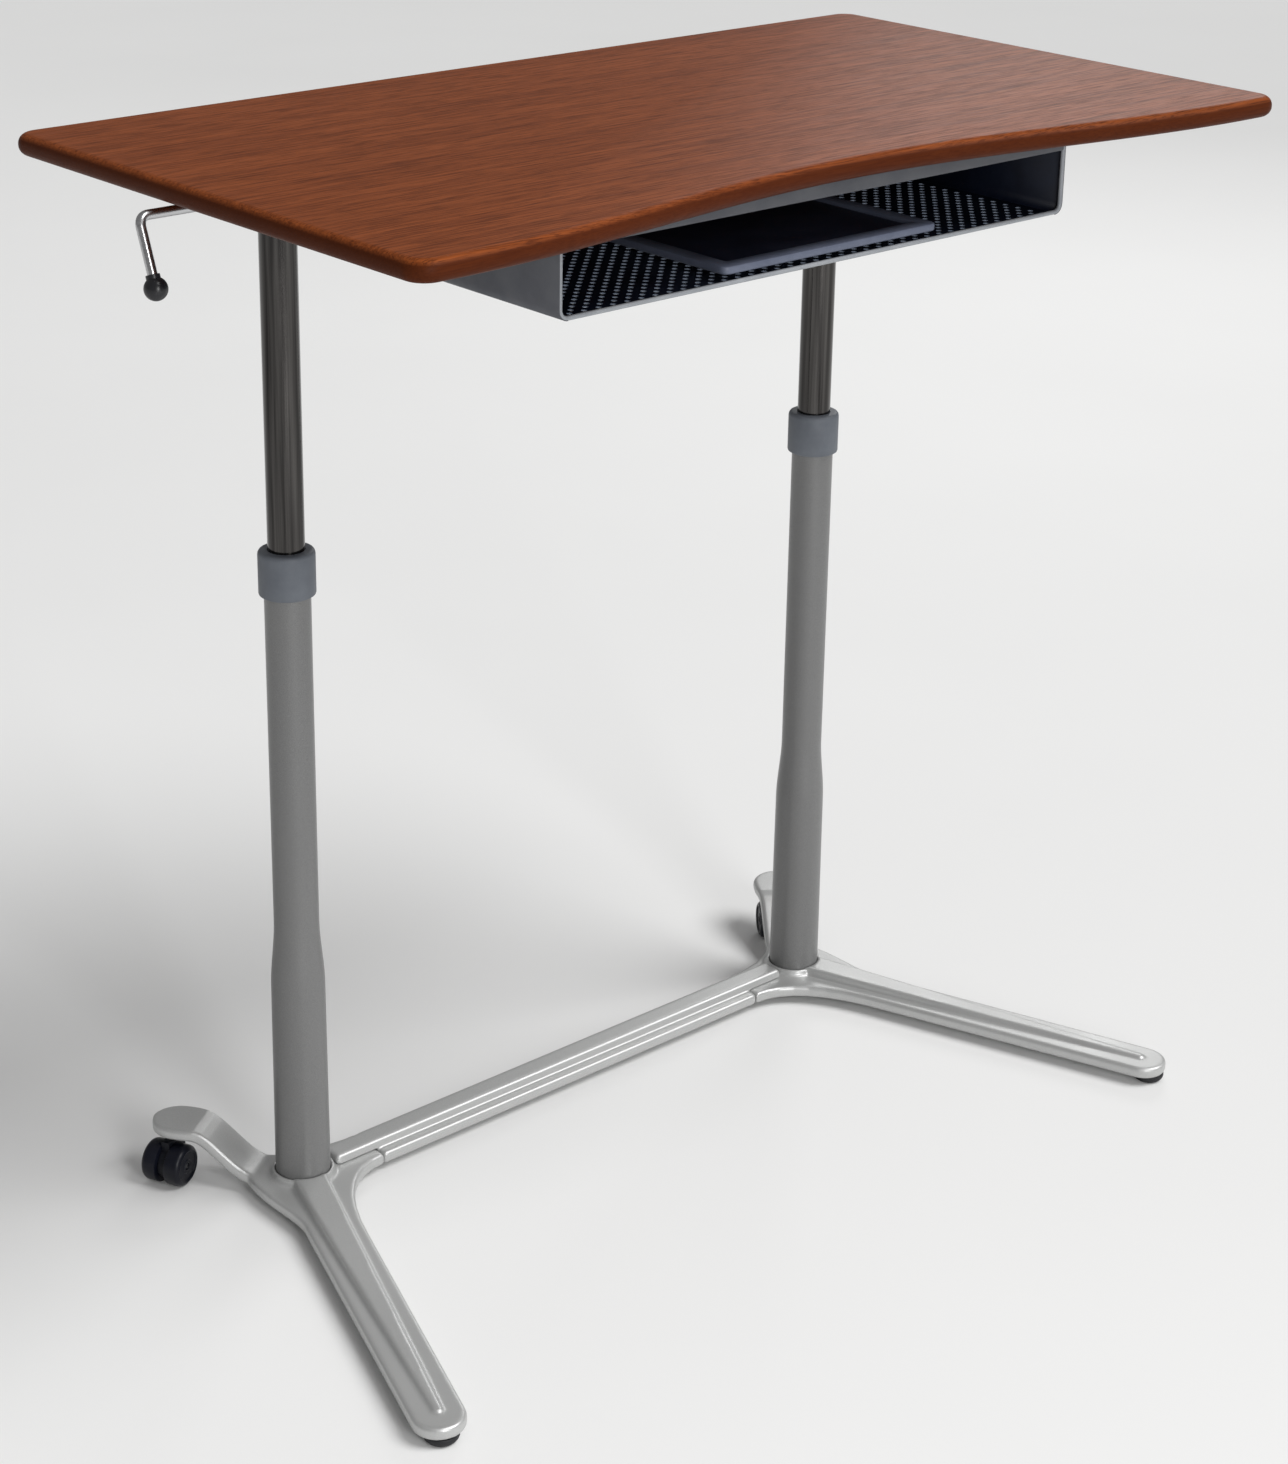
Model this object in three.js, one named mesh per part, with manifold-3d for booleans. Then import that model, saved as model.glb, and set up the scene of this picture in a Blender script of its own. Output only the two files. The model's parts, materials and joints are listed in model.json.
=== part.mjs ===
// Free-standing sit-stand desk: a scooped laminate top with a storage shelf under it, on two
// crank-driven telescopic columns whose cast feet are joined by a stretcher bar.
// Units are millimetres, +X is the user's right, +Y is away from the user, +Z is up, and the
// floor is z = 0. The desk is drawn about its own centre plane; the whole group is then moved
// sideways so that the origin is the bottom centre of the bounding box, crank included.
import * as THREE from 'three';
import { mergeVertices } from 'three/addons/utils/BufferGeometryUtils.js';
import Module from 'manifold-3d';

const wasm = await Module();
wasm.setup();

// ---------------------------------------------------------------- driving dimensions
const GAP = 0.3;

const TOP = { width: 950, depth: 536, thickness: 18, height: 977, corner: 21, scoop: 50 };
const TOP_UNDERSIDE = TOP.height - TOP.thickness;
const FRONT_Y = -TOP.depth / 2;

const COLUMN = { halfSpacing: 312.4, y: 131 };
const OUTER_TUBE = { radius: 20, flareRadius: 24, baseRadius: 25, wall: 2.4, bottom: 16.3, top: 604 };
const FLARE = { start: 213, end: 275 };
const COLLAR = { radius: 24.5, bottom: 584, top: 624, sleeveBottom: 552 };
const INNER_TUBE = { radius: 15.9, wall: 1.6, bottom: 290, top: 910.7 };

const SCREW = { radius: 6, bottom: 470 };
const POST = { radius: 11, bore: 7.5, top: 560 };
const NUT_TOP = 585;

const HOUSING = { bottom: 905, halfX: 28.5, halfY: 30, flange: 5, flangeHalfY: 46, driveReach: 92 };
const DRIVE_AXIS_Z = 928;
const GEAR = { near: 7, far: 12, pocket: 13.5 };
const SHAFT_RADIUS = 5;

const SHELF = { halfWidth: 283.5, front: -319.6, back: -46.6, bottom: 885, wall: 1.6, corner: 9,
  lip: 16, railBottom: 940, railDepth: 12 };
const TRAY = { centreX: 8, width: 242, front: -317, depth: 208, bottom: 893, base: 3, rim: 3.5,
  rimWidth: 14, corner: 7, footInset: 20, frontFootInset: 85 };

const PLATE = { bottom: 8.3, top: 20, edge: 3 };
const HUB = { radius: 28.5, top: 27, floor: 16 };
const LEG = { angle: THREE.MathUtils.degToRad(19.3), tipDistance: 384, glideDistance: 391, tipHalf: 23 };
const STUB = { reach: 74.5, half: 23.5 };
const ARM = { pad: new THREE.Vector2(69, 100), padRadius: 24, half: 21, padTop: 57.5, thickness: 10.8,
  riseStart: 38, riseLength: 64, rootHalf: 17, rootEnd: 46 };
const RIB = { rootHalf: 15, tipHalf: 4, rootTop: 28.5, tipTop: 22.5, start: 20, end: 386 };
const STRETCHER_RIB = { half: 10.5, base: 13, top: 28.5, reach: 282 };
const STRETCHER_BOLTS = [-42, -62];

const CASTER = { wheelRadius: 19.5, wheelWidth: 15.5, halfGap: 4.5, trail: 16, axleRadius: 3, bossRadius: 9,
  bossBottom: 40.5, stemRadius: 4 };
const CASTER_TRAIL_DEG = { left: 206, right: 236 };

const CRANK = { x: -488.5, y: -73.2, z: 949.6, radius: 4, inner: -300, bend: 8, armY: -20, armZ: -51.8,
  knobRadius: 9.5 };

// The crank's knob reaches past the top's left edge, which shifts the bounding box's centre.
const LEFT_REACH = -CRANK.x + CRANK.knobRadius;
const ORIGIN_SHIFT_X = (LEFT_REACH - TOP.width / 2) / 2;

// ---------------------------------------------------------------- materials
function paint(color, roughness, metalness) {
  return new THREE.MeshStandardMaterial({ color, roughness, metalness });
}
const LOOK = {
  wood: () => paint(0x7a4532, 0.45, 0),
  chrome: () => paint(0xb9b9bb, 0.12, 1),
  silver: () => paint(0x8d8d8b, 0.45, 0.6),
  casting: () => paint(0xb4b4b0, 0.4, 0.6),
  shelf: () => paint(0x7d8388, 0.55, 0.2),
  tray: () => paint(0x343a48, 0.5, 0.1),
  collar: () => paint(0x666b72, 0.6, 0),
  black: () => paint(0x111214, 0.5, 0),
  steel: () => paint(0x9a9a9c, 0.35, 1),
  brass: () => paint(0xb08d4a, 0.4, 1),
};

// ---------------------------------------------------------------- geometry helpers
function toSolid(geometry) {
  const bare = new THREE.BufferGeometry();
  const flat = geometry.index ? geometry.toNonIndexed() : geometry;
  bare.setAttribute('position', flat.getAttribute('position').clone());
  const merged = mergeVertices(bare, 1e-3);
  const index = merged.index.array;
  const corners = [];
  for (let i = 0; i < index.length; i += 3) {
    const [a, b, c] = [index[i], index[i + 1], index[i + 2]];
    if (a !== b && b !== c && c !== a) corners.push(a, b, c);
  }
  return new wasm.Manifold(new wasm.Mesh({
    numProp: 3,
    vertProperties: new Float32Array(merged.getAttribute('position').array),
    triVerts: new Uint32Array(corners),
  }));
}

function fromSolid(solid) {
  const mesh = solid.getMesh();
  const geometry = new THREE.BufferGeometry();
  geometry.setAttribute('position', new THREE.BufferAttribute(new Float32Array(mesh.vertProperties), 3));
  geometry.setIndex(new THREE.BufferAttribute(new Uint32Array(mesh.triVerts), 1));
  geometry.computeVertexNormals();
  return geometry;
}

function join(...geometries) {
  return geometries.map(toSolid).reduce((whole, piece) => whole.add(piece));
}

function cut(solid, ...geometries) {
  return geometries.map(toSolid).reduce((whole, tool) => whole.subtract(tool), solid);
}

// A body of revolution about Z from [radius, z] points, listed anticlockwise.
function lathe(profile, segments = 32) {
  const points = profile.map(([radius, z]) => new THREE.Vector2(radius, z));
  return new THREE.LatheGeometry(points, segments).rotateX(Math.PI / 2);
}

// A plain cylinder between two ends on an axis parallel to X, Y or Z.
function rod(axis, radius, from, to, centre, segments = 24) {
  const geometry = new THREE.CylinderGeometry(radius, radius, to - from, segments);
  if (axis === 'x') geometry.rotateZ(-Math.PI / 2);
  if (axis === 'z') geometry.rotateX(Math.PI / 2);
  const middle = (from + to) / 2;
  if (axis === 'x') return geometry.translate(middle, centre[0], centre[1]);
  if (axis === 'y') return geometry.translate(centre[0], middle, centre[1]);
  return geometry.translate(centre[0], centre[1], middle);
}

function box(x, y, z) {
  const geometry = new THREE.BoxGeometry(x[1] - x[0], y[1] - y[0], z[1] - z[0]);
  return geometry.translate((x[0] + x[1]) / 2, (y[0] + y[1]) / 2, (z[0] + z[1]) / 2);
}

function roundedRectangle(x, y, radius) {
  const shape = new THREE.Shape();
  shape.moveTo(x[0] + radius, y[0]);
  shape.lineTo(x[1] - radius, y[0]);
  shape.absarc(x[1] - radius, y[0] + radius, radius, -Math.PI / 2, 0);
  shape.lineTo(x[1], y[1] - radius);
  shape.absarc(x[1] - radius, y[1] - radius, radius, 0, Math.PI / 2);
  shape.lineTo(x[0] + radius, y[1]);
  shape.absarc(x[0] + radius, y[1] - radius, radius, Math.PI / 2, Math.PI);
  shape.lineTo(x[0], y[0] + radius);
  shape.absarc(x[0] + radius, y[0] + radius, radius, Math.PI, 1.5 * Math.PI);
  return shape;
}

// A plate between two heights whose top and bottom edges are rounded by "edge".
function plate(shape, bottom, top, edge = 0, curveSegments = 8, edgeSteps = 2) {
  const depth = top - bottom - 2 * edge;
  const options = { depth, curveSegments, bevelEnabled: edge > 0, bevelThickness: edge,
    bevelSize: edge, bevelOffset: -edge, bevelSegments: edgeSteps };
  return new THREE.ExtrudeGeometry(shape, options).translate(0, 0, bottom + edge);
}

// A closed skin through rings that all have the same number of points.
function loft(rings) {
  const count = rings[0].length;
  const vertices = rings.flat();
  const corners = [];
  for (let ring = 0; ring < rings.length - 1; ring += 1) {
    for (let i = 0; i < count; i += 1) {
      const a = ring * count + i;
      const b = ring * count + (i + 1) % count;
      corners.push(a, b, b + count, a, b + count, a + count);
    }
  }
  const last = (rings.length - 1) * count;
  for (let i = 1; i < count - 1; i += 1) {
    corners.push(0, i + 1, i, last, last + i, last + i + 1);
  }
  const geometry = new THREE.BufferGeometry().setFromPoints(vertices);
  geometry.setIndex(corners);
  return geometry;
}

// Reflects a mesh in the plane x = 0 and turns its triangles to face out again.
function mirrorX(geometry) {
  geometry.scale(-1, 1, 1);
  const corners = geometry.index.array;
  for (let i = 0; i < corners.length; i += 3) {
    [corners[i], corners[i + 1]] = [corners[i + 1], corners[i]];
  }
}

// ---------------------------------------------------------------- the tree of named meshes
const desk = new THREE.Group();
desk.position.x = ORIGIN_SHIFT_X;

function add(name, shape, look, group = desk) {
  const geometry = shape.isBufferGeometry ? fromSolid(toSolid(shape)) : fromSolid(shape);
  const mesh = new THREE.Mesh(geometry, look());
  mesh.name = name;
  group.add(mesh);
  return mesh;
}

// Column assemblies are drawn about their own column axis; side is -1 for left, +1 for right.
const SIDES = [['left', -1], ['right', 1]];
const columnGroup = {};
for (const [label, side] of SIDES) {
  const group = new THREE.Group();
  group.position.set(side * COLUMN.halfSpacing, COLUMN.y, 0);
  desk.add(group);
  columnGroup[label] = group;
}
// Pieces that span both columns are drawn about the line through the column axes.
const columnLine = new THREE.Group();
columnLine.position.y = COLUMN.y;
desk.add(columnLine);

// Screws that hold the housings and the shelf to the top: [x, y, head underside z].
function housingScrewPlaces(side) {
  const frontY = side < 0 ? -HOUSING.driveReach - 9 : -HOUSING.flangeHalfY + 8;
  const places = [];
  for (const y of [frontY, HOUSING.flangeHalfY - 8]) {
    for (const x of [-20, 20]) {
      places.push([side * COLUMN.halfSpacing + x, COLUMN.y + y, TOP_UNDERSIDE - GAP - HOUSING.flange]);
    }
  }
  return places;
}
function shelfScrewPlaces() {
  const x = SHELF.halfWidth - SHELF.lip / 2;
  const y = [SHELF.front + 40, SHELF.back - 30];
  const seat = TOP_UNDERSIDE - GAP - SHELF.wall;
  return [-x, x].flatMap((px) => y.map((py) => [px, COLUMN.y + py, seat]));
}
const SCREW_PLACES = {
  left_housing_screw: housingScrewPlaces(-1),
  right_housing_screw: housingScrewPlaces(1),
  shelf_screw: shelfScrewPlaces(),
};
const TOP_SCREW = { shank: 2.2, head: 4.5, headHeight: 2.6, tip: TOP_UNDERSIDE + 10 };

// ---------------------------------------------------------------- tabletop
function topOutline() {
  const half = TOP.width / 2;
  const r = TOP.corner;
  const scoopHalf = half - r;
  const shape = new THREE.Shape();
  shape.moveTo(-scoopHalf, FRONT_Y);
  const steps = 24;
  for (let i = 1; i <= steps; i += 1) {
    const x = -scoopHalf + (2 * scoopHalf * i) / steps;
    const swell = (1 + Math.cos((Math.PI * x) / scoopHalf)) / 2;
    shape.lineTo(x, FRONT_Y + TOP.scoop * swell);
  }
  shape.absarc(half - r, FRONT_Y + r, r, -Math.PI / 2, 0);
  shape.lineTo(half, -FRONT_Y - r);
  shape.absarc(half - r, -FRONT_Y - r, r, 0, Math.PI / 2);
  shape.lineTo(-half + r, -FRONT_Y);
  shape.absarc(-half + r, -FRONT_Y - r, r, Math.PI / 2, Math.PI);
  shape.lineTo(-half, FRONT_Y + r);
  shape.absarc(-half + r, FRONT_Y + r, r, Math.PI, 1.5 * Math.PI);
  return shape;
}

function buildTop() {
  const slab = toSolid(plate(topOutline(), TOP_UNDERSIDE, TOP.height, TOP.thickness / 2 - 0.5, 6, 3));
  const pilots = Object.values(SCREW_PLACES).flat().map(([x, y]) => (
    rod('z', TOP_SCREW.shank + GAP, TOP_UNDERSIDE - 1, TOP_SCREW.tip + 1, [x, y], 8)));
  add('tabletop', cut(slab, ...pilots), LOOK.wood);
}

function buildTopScrews() {
  for (const [name, places] of Object.entries(SCREW_PLACES)) {
    places.forEach(([x, y, seat], index) => {
      const top = seat - GAP;
      const profile = [[0, top - TOP_SCREW.headHeight], [TOP_SCREW.head * 0.7, top - TOP_SCREW.headHeight],
        [TOP_SCREW.head, top - 0.8], [TOP_SCREW.head, top], [TOP_SCREW.shank, top],
        [TOP_SCREW.shank, TOP_SCREW.tip - 2], [0, TOP_SCREW.tip]];
      add(`${name}_${index + 1}`, lathe(profile, 8).translate(x, y, 0), LOOK.steel);
    });
  }
}

// ---------------------------------------------------------------- storage shelf and tray
function buildShelf() {
  const { halfWidth, front, back, bottom, wall, corner, lip, railBottom, railDepth } = SHELF;
  const top = TOP_UNDERSIDE - GAP;
  // The rounded tub is an XZ outline drawn past its open top, then trimmed flat.
  function tub(inset) {
    return roundedRectangle([-halfWidth + inset, halfWidth - inset], [bottom + inset, top + corner],
      corner - inset);
  }
  function alongY(shape, y0, y1) {
    const options = { depth: y1 - y0, bevelEnabled: false, curveSegments: 5 };
    const geometry = new THREE.ExtrudeGeometry(shape, options);
    return geometry.rotateX(Math.PI / 2).translate(0, y1, 0);
  }
  const outer = toSolid(alongY(tub(0), front, back));
  const trimmed = cut(outer, box([-halfWidth - 5, halfWidth + 5], [front - 5, back + 5], [top, top + 50]));
  const hollow = toSolid(alongY(tub(wall), front + wall, back - wall));
  const cavity = cut(hollow, box([-halfWidth, halfWidth], [front, back], [top - wall, top + 50]));
  const mouth = box([-halfWidth + 3, halfWidth - 3], [front - 5, front + 10], [bottom + 3, railBottom]);
  const topOpening = box([-halfWidth + lip, halfWidth - lip], [front + railDepth, back - lip],
    [top - 10, top + 10]);
  const solid = cut(trimmed.subtract(cavity), mouth, topOpening);
  const holes = SCREW_PLACES.shelf_screw.map(([x, y]) => (
    rod('z', TOP_SCREW.shank + GAP, top - 5, top + 5, [x, y - COLUMN.y], 8)));
  add('storage_shelf', cut(solid, ...holes), LOOK.shelf, columnLine);
}

function buildTray() {
  const x = [TRAY.centreX - TRAY.width / 2, TRAY.centreX + TRAY.width / 2];
  const y = [COLUMN.y + TRAY.front, COLUMN.y + TRAY.front + TRAY.depth];
  const top = TRAY.bottom + TRAY.base + TRAY.rim;
  const inner = TRAY.rimWidth;
  const body = plate(roundedRectangle(x, y, TRAY.corner), TRAY.bottom, top, 1.2, 3, 1);
  const recess = plate(roundedRectangle([x[0] + inner, x[1] - inner], [y[0] + inner, y[1] - inner], 2),
    TRAY.bottom + TRAY.base, top + 5);
  const footBottom = SHELF.bottom + SHELF.wall + GAP;
  // The front feet stand far enough back to stay behind the shelf's rim when the tray is out.
  const feetX = [x[0] + TRAY.footInset, x[1] - TRAY.footInset];
  const feetY = [y[0] + TRAY.frontFootInset, y[1] - TRAY.footInset];
  const feet = feetX.flatMap((px) => feetY.map((py) => (
    rod('z', 4, footBottom, TRAY.bottom + 1, [px, py], 12))));
  add('shelf_tray', cut(join(body, ...feet), recess), LOOK.tray);
}

// ---------------------------------------------------------------- lift housings and drive
function buildHousing(label, side) {
  const group = columnGroup[label];
  const front = side < 0 ? -HOUSING.driveReach : -HOUSING.halfY;
  const flangeFront = side < 0 ? -HOUSING.driveReach - 17 : -HOUSING.flangeHalfY;
  const inwardEnd = -side * HOUSING.halfX;
  const x = [-HOUSING.halfX, HOUSING.halfX];
  const top = TOP_UNDERSIDE - GAP;
  const body = plate(roundedRectangle(x, [front, HOUSING.halfY], 6), HOUSING.bottom, top - 1, 0, 3);
  const flange = plate(roundedRectangle(x, [flangeFront, HOUSING.flangeHalfY], 6),
    top - HOUSING.flange, top, 0, 3);
  const pocketEnds = side < 0 ? [0, HOUSING.halfX + 5] : [-HOUSING.halfX - 5, 0];
  const tools = [
    rod('z', INNER_TUBE.radius + GAP, HOUSING.bottom - 5, INNER_TUBE.top + GAP, [0, 0], 30),
    rod('z', GEAR.pocket, HOUSING.bottom - 5, DRIVE_AXIS_Z + GEAR.pocket, [0, 0], 20),
    rod('x', GEAR.pocket, pocketEnds[0], pocketEnds[1], [0, DRIVE_AXIS_Z], 20),
  ];
  if (side < 0) {
    const inner = CRANK.inner + COLUMN.halfSpacing + 2;
    tools.push(rod('x', CRANK.radius + GAP, -HOUSING.halfX - 5, inner, [CRANK.y, CRANK.z], 20));
  }
  for (const [px, py] of SCREW_PLACES[`${label}_housing_screw`]) {
    tools.push(rod('z', TOP_SCREW.shank + GAP, top - 10, top + 5,
      [px - side * COLUMN.halfSpacing, py - COLUMN.y], 8));
  }
  add(`${label}_lift_housing`, cut(join(body, flange), ...tools), LOOK.casting, group);

  const bearing = lathe([[SHAFT_RADIUS + GAP, -3], [GEAR.pocket - GAP, -3], [GEAR.pocket - GAP, 3],
    [SHAFT_RADIUS + GAP, 3], [SHAFT_RADIUS + GAP, -3]], 18);
  add(`${label}_shaft_bearing`, bearing.rotateY(Math.PI / 2).translate(inwardEnd + side * 5, 0, DRIVE_AXIS_Z),
    LOOK.collar, group);
}

// A 45 degree bevel gear blank on a shaft, with its cone's apex at the origin and its back at -far.
function bevelProfile(shaftRadius, shaftEnd) {
  return [[0, shaftEnd], [shaftRadius, shaftEnd], [shaftRadius, -GEAR.far - GAP],
    [GEAR.far - 1, -GEAR.far - GAP], [GEAR.near - 0.5, -GEAR.near - GAP], [0, -GEAR.near - GAP]];
}

function buildDrive() {
  for (const [label] of SIDES) {
    const screwProfile = bevelProfile(SCREW.radius, SCREW.bottom - DRIVE_AXIS_Z);
    add(`${label}_lead_screw`, lathe(screwProfile, 20).translate(0, 0, DRIVE_AXIS_Z), LOOK.steel,
      columnGroup[label]);
  }
  const half = COLUMN.halfSpacing;
  const profile = [[0, -half + GEAR.near + GAP], [GEAR.near - 0.5, -half + GEAR.near + GAP],
    [GEAR.far - 1, -half + GEAR.far + GAP], [SHAFT_RADIUS, -half + GEAR.far + GAP],
    [SHAFT_RADIUS, half - GEAR.far - GAP], [GEAR.far - 1, half - GEAR.far - GAP],
    [GEAR.near - 0.5, half - GEAR.near - GAP], [0, half - GEAR.near - GAP]];
  const shaft = lathe(profile, 20).rotateY(Math.PI / 2).translate(0, 0, DRIVE_AXIS_Z);
  add('cross_shaft', shaft, LOOK.steel, columnLine);
}

// ---------------------------------------------------------------- crank
function crankPath() {
  const start = new THREE.Vector3(CRANK.inner, 0, 0);
  const corner = new THREE.Vector3(CRANK.x, 0, 0);
  const arm = new THREE.Vector3(0, CRANK.armY, CRANK.armZ);
  const beforeBend = corner.clone().add(new THREE.Vector3(CRANK.bend, 0, 0));
  const afterBend = corner.clone().addScaledVector(arm.clone().normalize(), CRANK.bend);
  const path = new THREE.CurvePath();
  path.add(new THREE.LineCurve3(start, beforeBend));
  path.add(new THREE.QuadraticBezierCurve3(beforeBend, corner, afterBend));
  path.add(new THREE.LineCurve3(afterBend, corner.clone().add(arm)));
  return path;
}

function buildCrank() {
  const group = new THREE.Group();
  group.position.set(0, COLUMN.y + CRANK.y, CRANK.z);
  desk.add(group);
  const section = new THREE.Shape().absarc(0, 0, CRANK.radius, 0, 2 * Math.PI);
  const rodGeometry = new THREE.ExtrudeGeometry(section, { steps: 44, curveSegments: 6,
    bevelEnabled: false, extrudePath: crankPath() });
  add('crank_rod', rodGeometry, LOOK.chrome, group);

  const arm = new THREE.Vector3(0, CRANK.armY, CRANK.armZ);
  const down = new THREE.Vector3(0, 0, -1);
  const tilt = new THREE.Quaternion().setFromUnitVectors(down, arm.clone().normalize());
  const bore = CRANK.radius + GAP;
  const neck = 5.6;
  const ball = [];
  const neckAngle = Math.acos(neck / CRANK.knobRadius);
  const ballSteps = 9;
  for (let i = 0; i <= ballSteps; i += 1) {
    const angle = -Math.PI / 2 + ((neckAngle + Math.PI / 2) * i) / ballSteps;
    ball.push([CRANK.knobRadius * Math.cos(angle), CRANK.knobRadius * Math.sin(angle)]);
  }
  const mouth = CRANK.knobRadius + 1.5;
  ball.push([neck, mouth], [bore, mouth], [bore, -GAP], [0, -GAP]);
  const knob = lathe(ball, 20).applyQuaternion(tilt).translate(CRANK.x, arm.y, arm.z);
  add('crank_knob', knob, LOOK.black, group);
}

// ---------------------------------------------------------------- columns
function buildColumn(label) {
  const group = columnGroup[label];
  const { radius, flareRadius, baseRadius, wall, bottom, top } = OUTER_TUBE;
  const outline = [[baseRadius, bottom], [flareRadius, FLARE.start]];
  const flareSteps = 5;
  for (let i = 1; i < flareSteps; i += 1) {
    const t = i / flareSteps;
    const blend = t * t * (3 - 2 * t);
    const z = THREE.MathUtils.lerp(FLARE.start, FLARE.end, t);
    outline.push([THREE.MathUtils.lerp(flareRadius, radius, blend), z]);
  }
  outline.push([radius, FLARE.end], [radius, top]);
  const bore = outline.slice().reverse().map(([r, z]) => [r - wall, z]);
  add(`${label}_outer_tube`, lathe([...outline, ...bore, outline[0]], 30), LOOK.silver, group);

  const inner = INNER_TUBE.radius - INNER_TUBE.wall;
  add(`${label}_inner_tube`, lathe([[inner, INNER_TUBE.bottom], [INNER_TUBE.radius, INNER_TUBE.bottom],
    [INNER_TUBE.radius, INNER_TUBE.top], [inner, INNER_TUBE.top], [inner, INNER_TUBE.bottom]], 30),
  LOOK.chrome, group);

  const socket = radius + GAP;
  const guide = INNER_TUBE.radius + GAP;
  const sleeve = radius - wall - GAP;
  const collar = [[socket, COLLAR.bottom], [COLLAR.radius - 1.5, COLLAR.bottom],
    [COLLAR.radius, COLLAR.bottom + 2], [COLLAR.radius, COLLAR.top - 3], [COLLAR.radius - 1, COLLAR.top - 1],
    [COLLAR.radius - 3, COLLAR.top], [guide, COLLAR.top], [guide, COLLAR.sleeveBottom],
    [sleeve, COLLAR.sleeveBottom], [sleeve, top + GAP], [socket, top + GAP], [socket, COLLAR.bottom]];
  add(`${label}_collar`, lathe(collar, 28), LOOK.collar, group);

  const postBottom = HUB.floor + GAP;
  const flange = baseRadius - wall - 1;
  const post = [[5.5, postBottom], [flange, postBottom], [flange, postBottom + 6],
    [POST.radius, postBottom + 6], [POST.radius, POST.top], [POST.bore, POST.top], [POST.bore, 44], [0, 44]];
  add(`${label}_nut_post`, lathe([[0, 34], [5.5, 34], ...post], 16), LOOK.steel, group);

  const nutBore = SCREW.radius + GAP;
  const nutBottom = POST.top + GAP;
  add(`${label}_lift_nut`, lathe([[nutBore, nutBottom], [POST.radius, nutBottom], [POST.radius, NUT_TOP],
    [nutBore, NUT_TOP], [nutBore, nutBottom]], 16), LOOK.brass, group);
}

// ---------------------------------------------------------------- base castings
// Each casting is drawn for the right side about its column axis, then mirrored for the left.
const legAlong = new THREE.Vector2(Math.sin(LEG.angle), -Math.cos(LEG.angle));
const legAcross = new THREE.Vector2(Math.cos(LEG.angle), Math.sin(LEG.angle));
const armAlong = ARM.pad.clone().normalize();
const armAcross = new THREE.Vector2(armAlong.y, -armAlong.x);
const padDistance = ARM.pad.length();

function onLine(along, across, distance, offset) {
  return along.clone().multiplyScalar(distance).addScaledVector(across, offset);
}

function castingOutline() {
  const shape = new THREE.Shape();
  const tip = onLine(legAlong, legAcross, LEG.tipDistance, 0);
  const innerStart = onLine(legAlong, legAcross, 118, -26);
  const outerStart = onLine(legAlong, legAcross, 82, 23.6);
  const armOuter = onLine(armAlong, armAcross, ARM.rootEnd, ARM.half - 0.2);
  const armInner = onLine(armAlong, armAcross, ARM.rootEnd - 3, -ARM.half + 0.2);
  shape.moveTo(-STUB.reach, -STUB.half);
  shape.quadraticCurveTo(-18, -STUB.half, innerStart.x, innerStart.y);
  const tipInner = onLine(legAlong, legAcross, LEG.tipDistance, -LEG.tipHalf);
  shape.lineTo(tipInner.x, tipInner.y);
  shape.absarc(tip.x, tip.y, LEG.tipHalf, LEG.angle + Math.PI, LEG.angle + 2 * Math.PI);
  shape.lineTo(outerStart.x, outerStart.y);
  shape.bezierCurveTo(44, -45, 52, -14, armOuter.x, armOuter.y);
  shape.lineTo(armInner.x, armInner.y);
  shape.quadraticCurveTo(-8, STUB.half + 6, -STUB.reach + 12, STUB.half);
  shape.lineTo(-STUB.reach, STUB.half);
  return shape;
}

// One ring of the leg's tapering rib, at a distance along the leg.
function ribRing(along, across, distance, half, base, top, draft) {
  const outline = [[-half - draft, base], [half + draft, base], [half + draft * 0.3, top - 1.6],
    [half - 1.4, top], [-half + 1.4, top], [-half - draft * 0.3, top - 1.6]];
  return outline.map(([offset, z]) => {
    const point = onLine(along, across, distance, offset);
    return new THREE.Vector3(point.x, point.y, z);
  });
}

function legRib() {
  const rings = [];
  const steps = 6;
  for (let i = 0; i <= steps; i += 1) {
    const t = i / steps;
    const distance = THREE.MathUtils.lerp(RIB.start, RIB.end - 3, t);
    const half = THREE.MathUtils.lerp(RIB.rootHalf, RIB.tipHalf, t);
    const top = THREE.MathUtils.lerp(RIB.rootTop, RIB.tipTop, t);
    rings.push(ribRing(legAlong, legAcross, distance, half, PLATE.bottom + 4, top, 1.5));
  }
  const endHalf = RIB.tipHalf - 1.8;
  rings.push(ribRing(legAlong, legAcross, RIB.end, endHalf, PLATE.bottom + 4, RIB.tipTop - 1.5, 0.5));
  return loft(rings);
}

// The rear arm: a plate that climbs in an S from the hub to the rounded caster pad.
function armTopHeight(distance) {
  const t = THREE.MathUtils.clamp((distance - ARM.riseStart) / ARM.riseLength, 0, 1);
  return THREE.MathUtils.lerp(PLATE.top - 0.3, ARM.padTop, t * t * (3 - 2 * t));
}

function armRing(distance, half) {
  const slope = (armTopHeight(distance + 0.5) - armTopHeight(distance - 0.5));
  const normal = new THREE.Vector2(-slope, 1).normalize();
  const r = Math.min(PLATE.edge, half * 0.6);
  const deep = ARM.thickness;
  const outline = [[half - r, 0], [half - 0.3 * r, 0.3 * r], [half, r], [half, deep - r],
    [half - 0.3 * r, deep - 0.3 * r], [half - r, deep], [-half + r, deep], [-half + 0.3 * r, deep - 0.3 * r],
    [-half, deep - r], [-half, r], [-half + 0.3 * r, 0.3 * r], [-half + r, 0]];
  return outline.map(([offset, depth]) => {
    const point = onLine(armAlong, armAcross, distance - depth * normal.x, offset);
    return new THREE.Vector3(point.x, point.y, armTopHeight(distance) - depth * normal.y);
  });
}

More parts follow.
